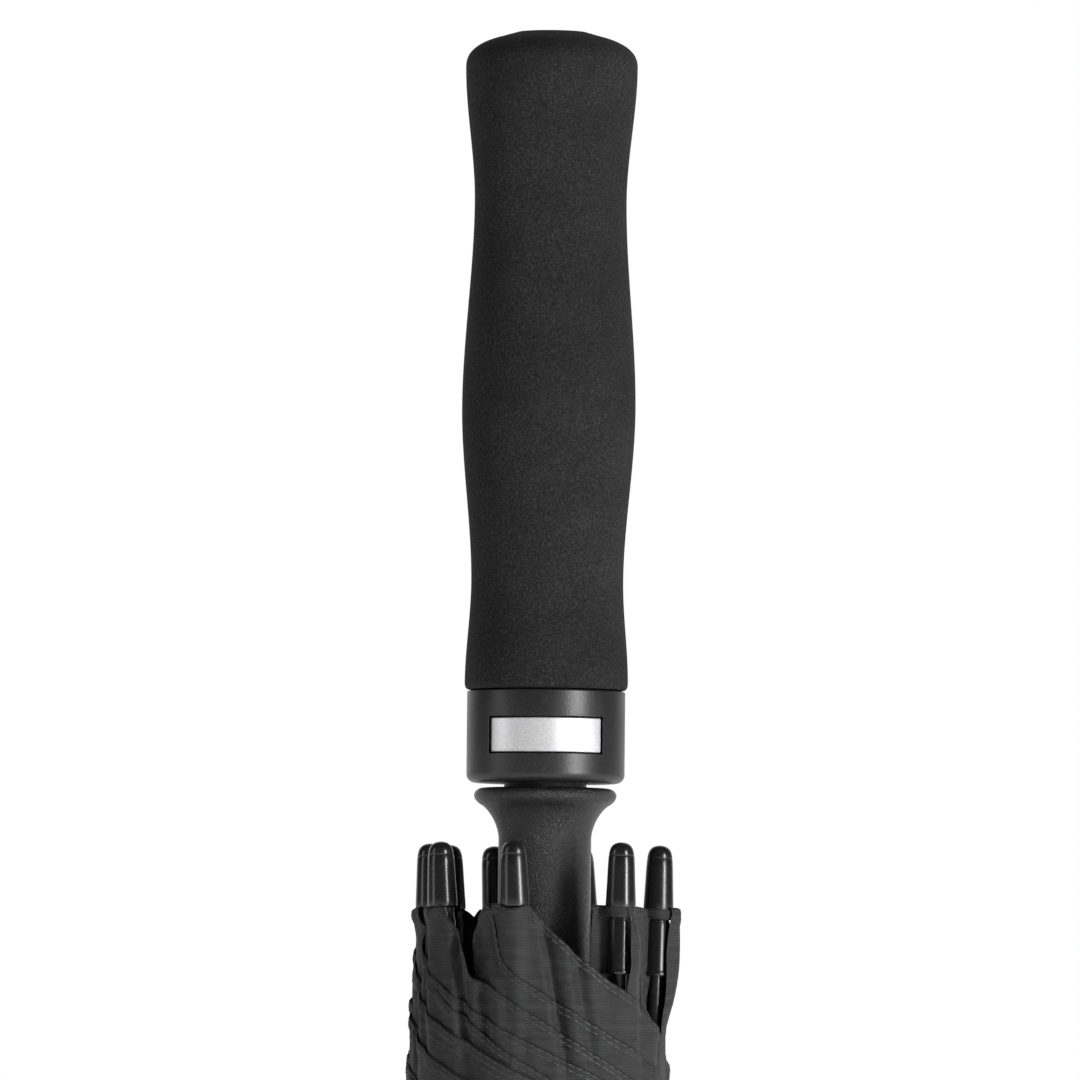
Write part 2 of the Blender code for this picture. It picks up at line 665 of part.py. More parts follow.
def panel_mesh(azimuth, middle):
    """One panel's share of the roll: it starts over its own rib and lies over the next panel."""
    layer = CLOTH_THICKNESS + CLOTH_GAP
    inner, outer = [], []
    for share in (0, 0.5, 1):
        for surface, thickness in ((inner, 0), (outer, CLOTH_THICKNESS)):
            row = []
            for k in range(CLOTH_STEPS + 1):
                top = CLOTH_TOP_Z - HEM_DROP * k / CLOTH_STEPS
                height = CLOTH_BOTTOM_Z + (top - CLOTH_BOTTOM_Z) * share
                outwards = layer * k * CLOTH_STEP / (2 * HALF_STEP) + thickness
                around = azimuth + (k + 0.25) * CLOTH_STEP
                row.append(roll_point(around, height, outwards) - middle)
            surface.append(row)
    return grid_solid(inner, outer)


def add_cloth(materials):
    for index, azimuth in enumerate(RIB_AZIMUTHS):
        reach = PIVOT_RADIUS / math.cos(HALF_STEP)
        between = azimuth + HALF_STEP
        middle = Vector((reach * math.cos(between), reach * math.sin(between), CROWN_PIVOT_Z))
        mesh = panel_mesh(azimuth, middle)
        place = Matrix.Translation(middle)
        add_piece(f"canopy_panel_{index + 1}", mesh, materials["cloth"], place)
    add_canopy_centre(materials)
    add_strap(materials)


def add_canopy_centre(materials):
    """The middle of the canopy, gathered round the shaft and clamped under the crown."""
    low, high, thick = 66.1 * MM, 77.3 * MM, 0.8 * MM
    outer = 17.4 * MM
    profile = [
        (SLEEVE_BORE, low), (outer - 1.4 * MM, low), (outer, low + 1.4 * MM), (outer, high),
        (outer - thick, high), (outer - thick, low + 2 * thick),
        (outer - 2 * thick, low + thick), (SLEEVE_BORE, low + thick),
    ]
    add_piece("canopy_centre", turned(profile, 24), materials["cloth"])


def add_strap(materials):
    """The band that holds the roll closed, and its press stud on the button's side."""
    low, high = STRAP_Z
    layer = CLOTH_THICKNESS + CLOTH_GAP
    roll = layer * CLOTH_STEPS * CLOTH_STEP / (2 * HALF_STEP) + CLOTH_THICKNESS
    inner = roll_radius(high) + roll + 0.6 * MM
    outer = inner + 1.2 * MM
    band = turned([(inner, low), (outer, low), (outer, high), (inner, high)], 32)
    add_piece("closing_strap", band, materials["cloth"])
    stud = turned(
        [(0, 0), (6 * MM, 0), (6 * MM, 0.9 * MM), (4.6 * MM, 2 * MM), (0, 2 * MM)], 16
    )
    facing = Matrix.Rotation(math.pi / 2, 4, "X")
    place = Matrix.Translation((0, -outer - RUNNING_GAP, (low + high) / 2)) @ facing
    add_piece("strap_stud", stud, materials["steel"], place)


def build():
    for item in list(bpy.data.objects):
        bpy.data.objects.remove(item)
    materials = {name: make_material(name) for name in FINISHES}
    add_handle(materials)
    add_shaft(materials)
    add_crown(materials)
    add_ferrule(materials)
    add_runner(materials)
    add_ribs(materials)
    add_cloth(materials)


build()
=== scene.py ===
"""Closed golf umbrella, handle up: foam grip, push-button collar, runner, ribs and furled canopy.

The CAD part is the fixed frame. The pieces made here stand for its visible nodes, and the cloth
is made twice: a roll of flaps for the closed umbrella, in eight pieces that each ride on a rib,
and eight gores that lie inside the roll between the ribs. Lengths are in metres.
"""

import json
import math

import bmesh
import bpy
import numpy as np
from mathutils import Matrix, Vector


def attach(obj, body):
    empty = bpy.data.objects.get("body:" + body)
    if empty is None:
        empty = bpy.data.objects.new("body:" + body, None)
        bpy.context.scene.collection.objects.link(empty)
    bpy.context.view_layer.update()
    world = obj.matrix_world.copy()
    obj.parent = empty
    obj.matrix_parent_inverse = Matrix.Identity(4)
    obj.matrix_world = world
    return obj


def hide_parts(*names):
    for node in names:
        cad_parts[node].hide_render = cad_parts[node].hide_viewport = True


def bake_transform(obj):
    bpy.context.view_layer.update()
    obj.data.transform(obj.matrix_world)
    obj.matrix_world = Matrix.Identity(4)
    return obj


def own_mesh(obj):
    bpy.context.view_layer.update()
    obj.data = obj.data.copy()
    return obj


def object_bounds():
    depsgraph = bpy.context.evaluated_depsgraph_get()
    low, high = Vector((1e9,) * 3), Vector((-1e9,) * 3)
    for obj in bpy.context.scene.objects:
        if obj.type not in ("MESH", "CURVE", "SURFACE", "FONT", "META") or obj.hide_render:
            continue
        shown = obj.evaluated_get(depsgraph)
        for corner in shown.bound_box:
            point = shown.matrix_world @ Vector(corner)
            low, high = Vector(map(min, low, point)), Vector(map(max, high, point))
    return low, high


MM = 0.001
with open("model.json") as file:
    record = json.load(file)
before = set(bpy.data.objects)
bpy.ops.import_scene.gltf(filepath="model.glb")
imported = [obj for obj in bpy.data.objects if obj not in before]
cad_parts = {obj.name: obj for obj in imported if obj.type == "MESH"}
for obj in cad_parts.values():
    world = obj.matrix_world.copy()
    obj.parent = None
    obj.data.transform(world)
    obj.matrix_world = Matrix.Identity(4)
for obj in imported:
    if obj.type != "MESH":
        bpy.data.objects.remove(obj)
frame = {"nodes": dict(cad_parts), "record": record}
NODES = frame["nodes"]
CAD_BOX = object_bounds()
TOTAL_LENGTH = CAD_BOX[1].z

RIB_COUNT = 8
STEP = math.tau / RIB_COUNT
PIVOT_RADIUS = 11 * MM
CROWN_Z = 80 * MM  # the crown's hinge wire
RUNNER_Z = 740 * MM  # the runner's hinge wire
RIB_LENGTH = 722 * MM
TIP_RADIUS = 27 * MM  # from the shaft's axis to a closed rib's end
CLOSED = math.asin((TIP_RADIUS - PIVOT_RADIUS) / RIB_LENGTH)  # a closed rib's lean
STRETCHER_LENGTH = (RUNNER_Z - CROWN_Z) / (2 * math.cos(CLOSED))
# How far each rib's end is twisted round the roll, in degrees.
TIP_TURN_DEG = (-15.5, -4.0, 8.0, 27.0, 26.0, 10.0, -10.0, -18.0)
RIB_AZIMUTHS = [-math.pi / 2 + k * STEP for k in range(RIB_COUNT)]


def below_top(distance):
    return TOTAL_LENGTH - distance * MM


# ---------------------------------------------------------------- materials


class Nodes:
    """A short way to build one material's nodes."""

    def __init__(self, name, **values):
        self.material = bpy.data.materials.new(name)
        self.material.use_nodes = True
        self.tree = self.material.node_tree
        self.shader = self.tree.nodes["Principled BSDF"]
        for key, value in values.items():
            self.shader.inputs[key.replace("_", " ")].default_value = value
        self.object = self.add("ShaderNodeTexCoord").outputs["Object"]
        self.uv = self.tree.nodes["Texture Coordinate"].outputs["UV"]

    def add(self, kind, **settings):
        node = self.tree.nodes.new(kind)
        for key, value in settings.items():
            setattr(node, key, value)
        return node

    def link(self, out, into):
        self.tree.links.new(out, into)

    def noise(self, scale, detail=2.0, source=None, stretch=None, roughness=0.5):
        node = self.add("ShaderNodeTexNoise")
        node.inputs["Scale"].default_value = scale
        node.inputs["Detail"].default_value = detail
        node.inputs["Roughness"].default_value = roughness
        source = source or self.object
        if stretch:
            mapping = self.add("ShaderNodeMapping")
            mapping.inputs["Scale"].default_value = stretch
            self.link(source, mapping.inputs["Vector"])
            source = mapping.outputs["Vector"]
        self.link(source, node.inputs["Vector"])
        return node.outputs["Fac"]

    def ramp(self, value, stops):
        node = self.add("ShaderNodeValToRGB")
        elements = node.color_ramp.elements
        while len(elements) < len(stops):
            elements.new(0.5)
        for element, (place, colour) in zip(elements, stops):
            element.position = place
            element.color = (*colour, 1.0) if hasattr(colour, "__len__") else (colour, colour, colour, 1)
        self.link(value, node.inputs["Fac"])
        return node.outputs["Color"]

    def math(self, operation, first, second):
        node = self.add("ShaderNodeMath", operation=operation)
        for socket, value in zip(node.inputs, (first, second)):
            if hasattr(value, "links"):
                self.link(value, socket)
            else:
                socket.default_value = value
        return node.outputs["Value"]

    def bump(self, height, strength, distance):
        node = self.add("ShaderNodeBump")
        node.inputs["Strength"].default_value = strength
        node.inputs["Distance"].default_value = distance
        self.link(height, node.inputs["Height"])
        self.link(node.outputs["Normal"], self.shader.inputs["Normal"])
        return node


def foam_material():
    """Closed-cell foam: a fine speckle of open cells over a soft, slightly mottled black."""
    n = Nodes("foam", Roughness=0.82, Specular_IOR_Level=0.15)
    cells = n.noise(2100, 3.0, roughness=0.65)
    cloudy = n.noise(55, 3.0)
    mixed = n.math("ADD", n.math("MULTIPLY", cells, 0.8), n.math("MULTIPLY", cloudy, 0.2))
    colour = n.ramp(mixed, [(0.34, 0.006), (0.5, 0.016), (0.66, 0.040)])
    n.link(colour, n.shader.inputs["Base Color"])
    n.bump(cells, 0.6, 0.0006)
    return n.material


def satin_plastic(name, colour, roughness, grain=2600, depth=0.25, distance=0.0002):
    """Moulded plastic with the fine spark-eroded grain of its tool."""
    n = Nodes(name, Base_Color=(*colour, 1), Specular_IOR_Level=0.5)
    fine = n.noise(grain, 2.0, roughness=0.6)
    broad = n.noise(90, 2.0)
    n.link(n.ramp(broad, [(0.3, roughness - 0.05), (0.7, roughness + 0.06)]), n.shader.inputs["Roughness"])
    tones = [tuple(c * f for c in colour) for f in (0.4, 1.8)]
    n.link(n.ramp(fine, [(0.35, tones[0]), (0.65, tones[1])]), n.shader.inputs["Base Color"])
    n.bump(fine, depth, distance)
    return n.material


def gloss_plastic():
    """Polished moulded caps with faint drawing marks and dust."""
    n = Nodes("tip_plastic", Base_Color=(0.010, 0.010, 0.010, 1), Specular_IOR_Level=0.55)
    marks = n.noise(300, 2.0, stretch=(1.0, 1.0, 0.06))
    n.link(n.ramp(marks, [(0.3, 0.20), (0.7, 0.30)]), n.shader.inputs["Roughness"])
    dust = n.noise(2400, 2.0)
    n.link(n.ramp(dust, [(0.55, 0.009), (0.8, 0.020)]), n.shader.inputs["Base Color"])
    n.bump(marks, 0.12, 0.0002)
    return n.material


def metal(name, colour, roughness, stretch=None, grain=1800, depth=0.15):
    n = Nodes(name, Metallic=1.0)
    fine = n.noise(grain, 2.0, stretch=stretch)
    broad = n.noise(60, 2.0)
    n.link(n.ramp(broad, [(0.3, roughness - 0.04), (0.7, roughness + 0.06)]), n.shader.inputs["Roughness"])
    tones = [tuple(c * f for c in colour) for f in (0.93, 1.04)]
    n.link(n.ramp(fine, [(0.35, tones[0]), (0.65, tones[1])]), n.shader.inputs["Base Color"])
    n.bump(fine, depth, 0.0001)
    return n.material


def silver_lacquer():
    """The button's plate: fine silver lacquer with an even grain."""
    n = Nodes("silver", Metallic=0.55, Specular_IOR_Level=0.5)
    fine = n.noise(2600, 2.0)
    n.link(n.ramp(fine, [(0.3, (0.60, 0.60, 0.61)), (0.7, (0.80, 0.80, 0.81))]), n.shader.inputs["Base Color"])
    n.link(n.ramp(n.noise(80), [(0.3, 0.38), (0.7, 0.46)]), n.shader.inputs["Roughness"])
    n.bump(fine, 0.2, 0.0001)
    return n.material


def cloth_material(name, tone, weft=0.00036, warp=0.00030):
    """Plain-weave polyester: weft ribs crossed by finer warp threads, from lengths in UV."""
    n = Nodes(name, Roughness=0.72, Specular_IOR_Level=0.30, Sheen_Weight=0.08, Sheen_Roughness=0.45)
    split = n.add("ShaderNodeSeparateXYZ")
    n.link(n.uv, split.inputs["Vector"])
    across, along = split.outputs["X"], split.outputs["Y"]
    wander = n.math("MULTIPLY", n.noise(160, 2.0, source=n.uv), 0.00030)
    ribs = n.math("SINE", n.math("MULTIPLY", n.math("ADD", along, wander), math.tau / weft), 0)
    threads = n.math("SINE", n.math("MULTIPLY", across, math.tau / warp), 0)
    weave = n.math("ADD", n.math("MULTIPLY", ribs, 0.34), n.math("MULTIPLY", threads, 0.16))
    slubs = n.noise(700, 3.0, source=n.uv, stretch=(0.25, 1.0, 1.0))
    mixed = n.math("ADD", n.math("MULTIPLY", weave, 0.5), slubs)
    low, mid, high = (tuple(tone * f * c for c in (0.98, 0.99, 1.03)) for f in (0.45, 1.0, 1.75))
    n.link(n.ramp(mixed, [(0.15, low), (0.5, mid), (0.85, high)]), n.shader.inputs["Base Color"])
    n.link(n.ramp(slubs, [(0.3, 0.66), (0.7, 0.8)]), n.shader.inputs["Roughness"])
    n.bump(mixed, 0.5, 0.00025)
    return n.material


def thread_material():
    n = Nodes("thread", Roughness=0.6, Specular_IOR_Level=0.4)
    n.link(n.ramp(n.noise(3500), [(0.35, 0.030), (0.65, 0.055)]), n.shader.inputs["Base Color"])
    n.bump(n.noise(3000), 0.3, 0.0001)
    return n.material


MATERIALS = {
    "foam": foam_material(),
    "black_plastic": satin_plastic("black_plastic", (0.012, 0.012, 0.0125), 0.36),
    "tip_plastic": gloss_plastic(),
    "silver": silver_lacquer(),
    "steel": metal("steel", (0.45, 0.45, 0.46), 0.34, stretch=(1, 1, 0.1)),
    "black_steel": satin_plastic("black_steel", (0.016, 0.016, 0.017), 0.32, 1200, 0.12),
    "fibreglass": satin_plastic("fibreglass", (0.012, 0.012, 0.013), 0.30, 700, 0.10),
    "cloth": cloth_material("cloth", 0.026),
}
HEM_MATERIAL = cloth_material("hem_cloth", 0.024)
# A near-black cloth for a thin band along each hem's top edge: painted shadow, standing in for the shade that the
# lifted hem casts on the layer beneath it.
HEM_SHADOW_MATERIAL = cloth_material("hem_painted_shadow", 0.009)
THREAD = thread_material()


# ---------------------------------------------------------------- mesh helpers


def piece(name, vertices, faces, slot, body=None, replaces=(), smooth=True, uv=None, material=None):
    mesh = bpy.data.meshes.new(name)
    mesh.from_pydata([tuple(v) for v in vertices], [], [tuple(f) for f in faces])
    mesh.validate()
    mesh.update()
    if uv is not None:
        layer = mesh.uv_layers.new(name="UVMap")
        corners = np.zeros(len(mesh.loops), np.int32)
        mesh.loops.foreach_get("vertex_index", corners)
        layer.data.foreach_set("uv", np.asarray(uv, np.float32)[corners].ravel())
    if smooth:
        mesh.shade_smooth()
    return placed(name, mesh, slot, body, replaces, material)


def placed(name, mesh, slot, body=None, replaces=(), material=None):
    obj = bpy.data.objects.new(name, mesh)
    bpy.context.scene.collection.objects.link(obj)
    mesh.materials.clear()
    mesh.materials.append(material or MATERIALS[slot])
    if body:
        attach(obj, body)
    if replaces:
        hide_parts(*replaces)
    return obj


def turned(profile, sides=96):
    """Vertices and faces of a profile of (radius, height) points turned about Z."""
    bm = bmesh.new()
    columns = []
    poles = {i: bm.verts.new((0, 0, z)) for i, (r, z) in enumerate(profile) if r < 1e-9}
    closed = profile[0][0] > 1e-9
    for k in range(sides):
        angle = math.tau * k / sides
        column = []
        for i, (r, z) in enumerate(profile):
            column.append(poles.get(i) or bm.verts.new((r * math.cos(angle), r * math.sin(angle), z)))
        columns.append(column)
    rows = len(profile) if closed else len(profile) - 1
    for k in range(sides):
        near, far = columns[k], columns[(k + 1) % sides]
        for i in range(rows):
            j = (i + 1) % len(profile)
            corners = [near[i], far[i], far[j], near[j]]
            face = [v for n, v in enumerate(corners) if v not in corners[:n]]
            if len(face) > 2:
                bm.faces.new(face)
    bmesh.ops.recalc_face_normals(bm, faces=bm.faces)
    mesh = bpy.data.meshes.new("turned")
    bm.to_mesh(mesh)
    bm.free()
    return mesh


def smooth_mesh(mesh, angle=40):
    mesh.shade_smooth()
    mesh.set_sharp_from_angle(angle=math.radians(angle))
    return mesh


def arc(centre, radius, start, end, steps):
    """Points of (radius, height) on an arc, for the rounded corners of a profile."""
    out = []
    for k in range(steps + 1):
        angle = math.radians(start + (end - start) * k / steps)
        out.append((centre[0] + radius * math.cos(angle), centre[1] + radius * math.sin(angle)))
    return out


def bevelled(obj, width, segments=2, angle=30):
    modifier = obj.modifiers.new("edges", "BEVEL")
    modifier.width = width
    modifier.segments = segments
    modifier.limit_method = "ANGLE"
    modifier.angle_limit = math.radians(angle)
    modifier.harden_normals = True
    return obj


def cut(mesh, cutter, operation="DIFFERENCE"):
    work = bpy.data.objects.new("work", mesh)
    helper = bpy.data.objects.new("helper", cutter)
    for item in (work, helper):
        bpy.context.scene.collection.objects.link(item)
    step = work.modifiers.new("step", "BOOLEAN")
    step.operation = operation
    step.object = helper
    evaluated = work.evaluated_get(bpy.context.evaluated_depsgraph_get())
    result = bpy.data.meshes.new_from_object(evaluated)
    for item in (work, helper):
        bpy.data.objects.remove(item)
    return result


def box_mesh(low, high):
    bm = bmesh.new()
    bmesh.ops.create_cube(bm, size=1)
    for vert in bm.verts:
        vert.co = [(a + b) / 2 + (b - a) * c for a, b, c in zip(low, high, vert.co)]
    mesh = bpy.data.meshes.new("box")
    bm.to_mesh(mesh)
    bm.free()
    return mesh


def swept_mesh(points, radii, sides=16):
    line = [Vector(p) for p in points]
    bm = bmesh.new()
    rings = []
    across = Vector((0, 1, 0))
    for i, point in enumerate(line):
        ahead = (line[min(i + 1, len(line) - 1)] - line[max(i - 1, 0)]).normalized()
        across = (across - ahead * across.dot(ahead)).normalized()
        side = ahead.cross(across)
        ring = []
        for k in range(sides):
            angle = math.tau * k / sides
            ring.append(bm.verts.new(point + radii[i] * (across * math.cos(angle) + side * math.sin(angle))))
        rings.append(ring)
    for near, far in zip(rings, rings[1:]):
        for k in range(sides):
            bm.faces.new([near[k], near[(k + 1) % sides], far[(k + 1) % sides], far[k]])
    bm.faces.new(list(reversed(rings[0])))
    bm.faces.new(rings[-1])
    bmesh.ops.recalc_face_normals(bm, faces=bm.faces)
    mesh = bpy.data.meshes.new("swept")
    bm.to_mesh(mesh)
    bm.free()
    return mesh


# ---------------------------------------------------------------- handle


def hermite(knots, steps):
    """Points on a curve that is level across each knot and smooth between them."""
    points = []
    for (r0, z0), (r1, z1) in zip(knots, knots[1:]):
        for k in range(steps):
            t = k / steps
            ease = t * t * (3 - 2 * t)
            points.append((r0 + (r1 - r0) * ease, z0 + (z1 - z0) * t))
    return [*points, knots[-1]]


def add_grip():
    top_radius, dome_height, power = 19.9 * MM, 8.1 * MM, 2.35
    dome = [(0, TOTAL_LENGTH), (4 * MM, TOTAL_LENGTH), (8 * MM, TOTAL_LENGTH - 0.02 * MM)]
    for degrees in np.linspace(33, 87, 16):
        across = math.sin(math.radians(degrees)) ** (2 / power)
        up = math.cos(math.radians(degrees)) ** (2 / power)
        dome.append((top_radius * across, TOTAL_LENGTH - dome_height * (1 - up)))
    knots = [(top_radius, below_top(8.1)), (17.6 * MM, below_top(39.1)), (20.1 * MM, below_top(87.3)),
             (17.6 * MM, below_top(127.5)), (18.9 * MM, below_top(151.2))]
    body = hermite(knots, 22)
    foot = [(18.75 * MM, below_top(152.0)), (18.3 * MM, below_top(152.5)), (17.8 * MM, below_top(152.6)),
            (12 * MM, below_top(152.6)), (12 * MM, below_top(140)), (0, below_top(140))]
    mesh = smooth_mesh(turned([*dome, *body, *foot], 144), 50)
    grip = placed("foam_grip", mesh, "foam", "shaft_and_handle", ["grip"])


def add_collar():
    outer, inner, edge = 18.3 * MM, 16.3 * MM, 2.0 * MM
    low, high = below_top(174.1), below_top(152.9)
    mouth = 10.14 * MM
    profile = [(mouth, low), (outer - edge, low)]
    profile += arc((outer - edge, low + edge), edge, -90, 0, 10)[1:]
    profile += arc((outer - 0.4 * MM, high - 0.4 * MM), 0.4 * MM, 0, 90, 4)
    profile += [(inner, high), (inner, low + 1.5 * MM), (mouth, low + 1.5 * MM)]
    half, z_low, z_high = 13.1 * MM, below_top(167.7), below_top(159.1)
    window = box_mesh((-half, -40 * MM, z_low), (half, 0, z_high))
    mesh = smooth_mesh(cut(turned(profile, 192), window), 40)
    collar = placed("handle_collar_shell", mesh, "black_plastic", "shaft_and_handle", ["handle_collar"])
    bevelled(collar, 0.22 * MM, 2, 40)


def add_button():
    half = math.asin((13.1 - 0.3) / 17.6)
    low, high = below_top(167.7) + 0.3 * MM, below_top(159.1) - 0.3 * MM
    outer, inner = 17.6 * MM, 15.4 * MM
    columns = 48
    vertices, faces = [], []
    for k in range(columns + 1):
        angle = -math.pi / 2 - half + 2 * half * k / columns
        for r, z in ((inner, low), (outer, low), (outer, high), (inner, high)):
            vertices.append((r * math.cos(angle), r * math.sin(angle), z))
    for k in range(columns):
        for i in range(4):
            a, b = 4 * k + i, 4 * k + (i + 1) % 4
            faces.append((a, b, b + 4, a + 4))
    faces += [(3, 2, 1, 0), tuple(4 * columns + i for i in range(4))]
    button = piece("button_plate", vertices, faces, "silver", "button", ["release_button"])
    bm = bmesh.new()
    bm.from_mesh(button.data)
    bmesh.ops.recalc_face_normals(bm, faces=bm.faces)
    bm.to_mesh(button.data)
    bm.free()
    smooth_mesh(button.data, 30)
    bevelled(button, 0.35 * MM, 3, 50)


def add_runner():
    """Hinge ring, tube, flare and flange, the neck with its groove, and the head."""
    tube, flange, neck, bore = 10.73 * MM, 16.5 * MM, 9.54 * MM, 7.3 * MM
    ring, foot, ring_top = 14.6 * MM, RUNNER_Z - 7 * MM, RUNNER_Z + 12.5 * MM
    depth, half = PIVOT_RADIUS - 1 * MM, 1 * MM
    profile = [(bore, foot), (ring, foot), (ring, RUNNER_Z - half), (depth, RUNNER_Z - half),
               (depth, RUNNER_Z + half), (ring, RUNNER_Z + half), (ring, ring_top - 1 * MM)]
    profile += hermite([(ring, ring_top - 1 * MM), (tube, ring_top + 4.5 * MM)], 8)[1:]
    low, high, power = below_top(186.8), below_top(178.6), 1.65
    width = flange - 0.2 * MM - tube
    for t in np.linspace(0, 0.90, 24):
        across = 1 - (1 - t**power) ** (1 / power)
        profile.append((tube + width * across, low + (high - low) * t))
    rim = [(15.15, 179.0), (15.65, 178.6), (16.05, 178.15), (16.33, 177.7), (16.48, 177.2), (16.48, 176.8),
           (16.33, 176.35), (16.05, 175.95), (15.65, 175.65), (15.15, 175.42), (14.6, 175.32)]
    profile += [(r * MM, below_top(d)) for r, d in rim]
    top = below_top(175.3)
    catch = 825 * MM
    profile += [(neck, top), (neck, catch - 1.5 * MM), (8.2 * MM, catch - 1.5 * MM), (8.2 * MM, catch + 1.5 * MM),
                (neck, catch + 1.5 * MM), (neck, catch + 2.9 * MM), (8.4 * MM, catch + 4.2 * MM),
                (bore, catch + 4.2 * MM)]
    mesh = turned(profile, 96)
    for azimuth in RIB_AZIMUTHS:
        slot = box_mesh((8.3 * MM, -1.3 * MM, RUNNER_Z - 20 * MM), (22 * MM, 1.3 * MM, RUNNER_Z + 6.5 * MM))
        slot.transform(Matrix.Rotation(azimuth, 4, "Z"))
        mesh = cut(mesh, slot)
    runner = placed("runner_body", smooth_mesh(mesh, 35), "black_plastic", "runner", ["runner"])
    runner.data.materials.clear()
    runner.data.materials.append(satin_plastic("runner_plastic", (0.011, 0.011, 0.0115), 0.30, 2300, 1.0, 0.00045))


# ---------------------------------------------------------------- ribs


def rib_place(k):
    pivot = Matrix.Translation((PIVOT_RADIUS, 0, CROWN_Z))
    lean = Matrix.Rotation(CLOSED, 4, "Y")
    return Matrix.Rotation(RIB_AZIMUTHS[k], 4, "Z") @ pivot @ lean


def rib_line(k, along):
    """A point of a rib's middle line in the rib's own frame: X outwards, Z along the rib."""
    turn = math.radians(TIP_TURN_DEG[k])
    share = max(0.0, (along - STRETCHER_LENGTH - 20 * MM) / (RIB_LENGTH - STRETCHER_LENGTH))
    bend = share * share * (TIP_RADIUS / 0.9)
    return Vector((-bend * (1 - math.cos(turn)), bend * math.sin(turn), along))


def add_ribs():
    for k in range(RIB_COUNT):
        number = k + 1
        place = rib_place(k)
        stations = [8 * MM, 0.2, STRETCHER_LENGTH, *np.linspace(STRETCHER_LENGTH + 20 * MM, 0.714, 24)]
        rod = swept_mesh([rib_line(k, s) for s in stations], [1.6 * MM] * len(stations), 20)
        rod.transform(place)
        skin = placed(f"rod_{number}", smooth_mesh(rod, 50), "fibreglass", f"rib_{number}")
        bevelled(skin, 0.2 * MM, 2, 60)
        outline = [(0.0, 0.0), (0.9, 0.10), (1.7, 0.42), (2.2, 0.85), (2.55, 1.4), (2.78, 2.1), (2.92, 2.9),
                   (2.86, 3.1), (2.98, 3.3), (3.10, 5.5), (3.24, 9.0), (3.42, 13.0), (3.48, 14.4),
                   (3.36, 15.0), (2.75, 15.3), (2.60, 15.7), (2.60, 17.2), (2.72, 17.9), (2.90, 18.3),
                   (2.90, 28.9), (2.98, 29.3), (3.14, 29.6), (3.15, 30.0), (3.02, 30.3), (1.95, 30.3),
                   (1.95, 7.5), (0, 7.5)]
        cap = turned([(r * MM, RIB_LENGTH - d * MM) for r, d in outline], 40)
        base, end = rib_line(k, RIB_LENGTH - 30 * MM), rib_line(k, RIB_LENGTH)
        lean = Vector((0, 0, 1)).rotation_difference(end - base).to_matrix().to_4x4()
        cap.transform(Matrix.Translation(end) @ lean @ Matrix.Translation((0, 0, -RIB_LENGTH)))
        cap.transform(place)
        placed(f"tip_cap_{number}", smooth_mesh(cap, 35), "tip_plastic", f"rib_{number}", [f"rib_tip_{number}"])


def finish_cad_nodes():
    """The CAD nodes: a finish each."""
    for node in frame["record"]["subparts"]:
        name, slot = node["node"], node["material_slot"]
        obj = NODES[name]
        obj.data.materials.clear()
        obj.data.materials.append(MATERIALS[slot])


# ---------------------------------------------------------------- cloth, furled

HEM_Z = 787.4 * MM  # the cloth's edge at a tip's base
CLOTH_FOOT = 88 * MM
EAR = 3.5 * MM  # from a rib's middle to the right edge of the pocket that covers its sleeve
LEFT_EAR = 5.4 * MM
TURN_IN = 7.5 * MM  # how far a returning layer goes on past the pocket it lies beside
TUCKED = {1: 6.5 * MM, 2: 18 * MM}  # the same, behind an exposed rib's sleeve
UNDER_HEM = {1: 767 * MM, 2: 758 * MM}  # below this, that flap lies flat under the hem in front
STARTS = {1: -0.8 * MM, 2: -3.5 * MM}  # where an exposed rib's own flap begins
EXPOSED = (1, 2)  # ribs whose sleeve and rod stand in front of the cloth
LAYER_TOP, LAYER_LOW = 0.50 * MM, 0.38 * MM  # between one turn of cloth and the next
HEM_LINES = (0.6 * MM, 2.0 * MM)  # two rows of stitches, below the cloth's edge
# The doubled hem's band, and the thin band at each hem's edge that is painted shadow in a near-black cloth.
HEM_DEPTH, HEM_SHADOW_DEPTH = 2.5 * MM, 0.3 * MM
STRAP_Z, STRAP_HALF = 612.5 * MM, 12.5 * MM
HALF_ANGLE_TAN = math.tan(math.radians(25.6))  # a flap's reach in the roll, for its length
# Each flap's outer hem falls by slope * x + step * (1 - exp(-x / reach)), for x round the roll.
OUTER_HEMS = [(0.50, 10.0, 13.0), None, (0.48, 11.0, 12.0), (0.46, 12.0, 12.0),
              (0.52, 10.0, 14.0), (0.50, 11.0, 12.0), (0.60, 12.0, 14.0), None]
# Two hems hang almost straight down before they turn round the roll: (mm round, mm fallen).
STEEP_HEMS = {1: ((0, 0.5, 4.3, 6.5, 7.2, 12, 60, 300), (2, 3.4, 10.3, 15.1, 24.4, 33, 50, 160)),
              7: ((0, 4.1, 7.4, 8.6, 14.3, 22.3, 35.2, 60, 300), (0, 5.8, 11.6, 17.0, 18.8, 24.1, 32.2, 46, 170))}


def rib_track():
    """For each rib, its height, azimuth and radius along its length at rest."""
    tracks = []
    for k in range(RIB_COUNT):
        place = rib_place(k)
        points = np.array([place @ rib_line(k, s) for s in np.linspace(0, RIB_LENGTH, 400)])
        azimuth = np.unwrap(np.arctan2(points[:, 1], points[:, 0]))
        azimuth += math.tau * round((RIB_AZIMUTHS[k] - azimuth[0]) / math.tau)
        tracks.append((points[:, 2], azimuth, np.hypot(points[:, 0], points[:, 1])))
    return tracks


TRACKS = rib_track()


def rib_azimuth(k, z):
    """The azimuth of rib k at heights z. k may run past the last rib, a whole turn further on."""
    turns, index = divmod(k, RIB_COUNT)
    heights, azimuth, _ = TRACKS[index]
    return np.interp(z, heights, azimuth) + turns * math.tau


def rib_radius(z):
    return PIVOT_RADIUS + (z - CROWN_Z) * math.tan(CLOSED)


def smooth(x):
    x = np.clip(x, 0, 1)
    return x * x * (3 - 2 * x)


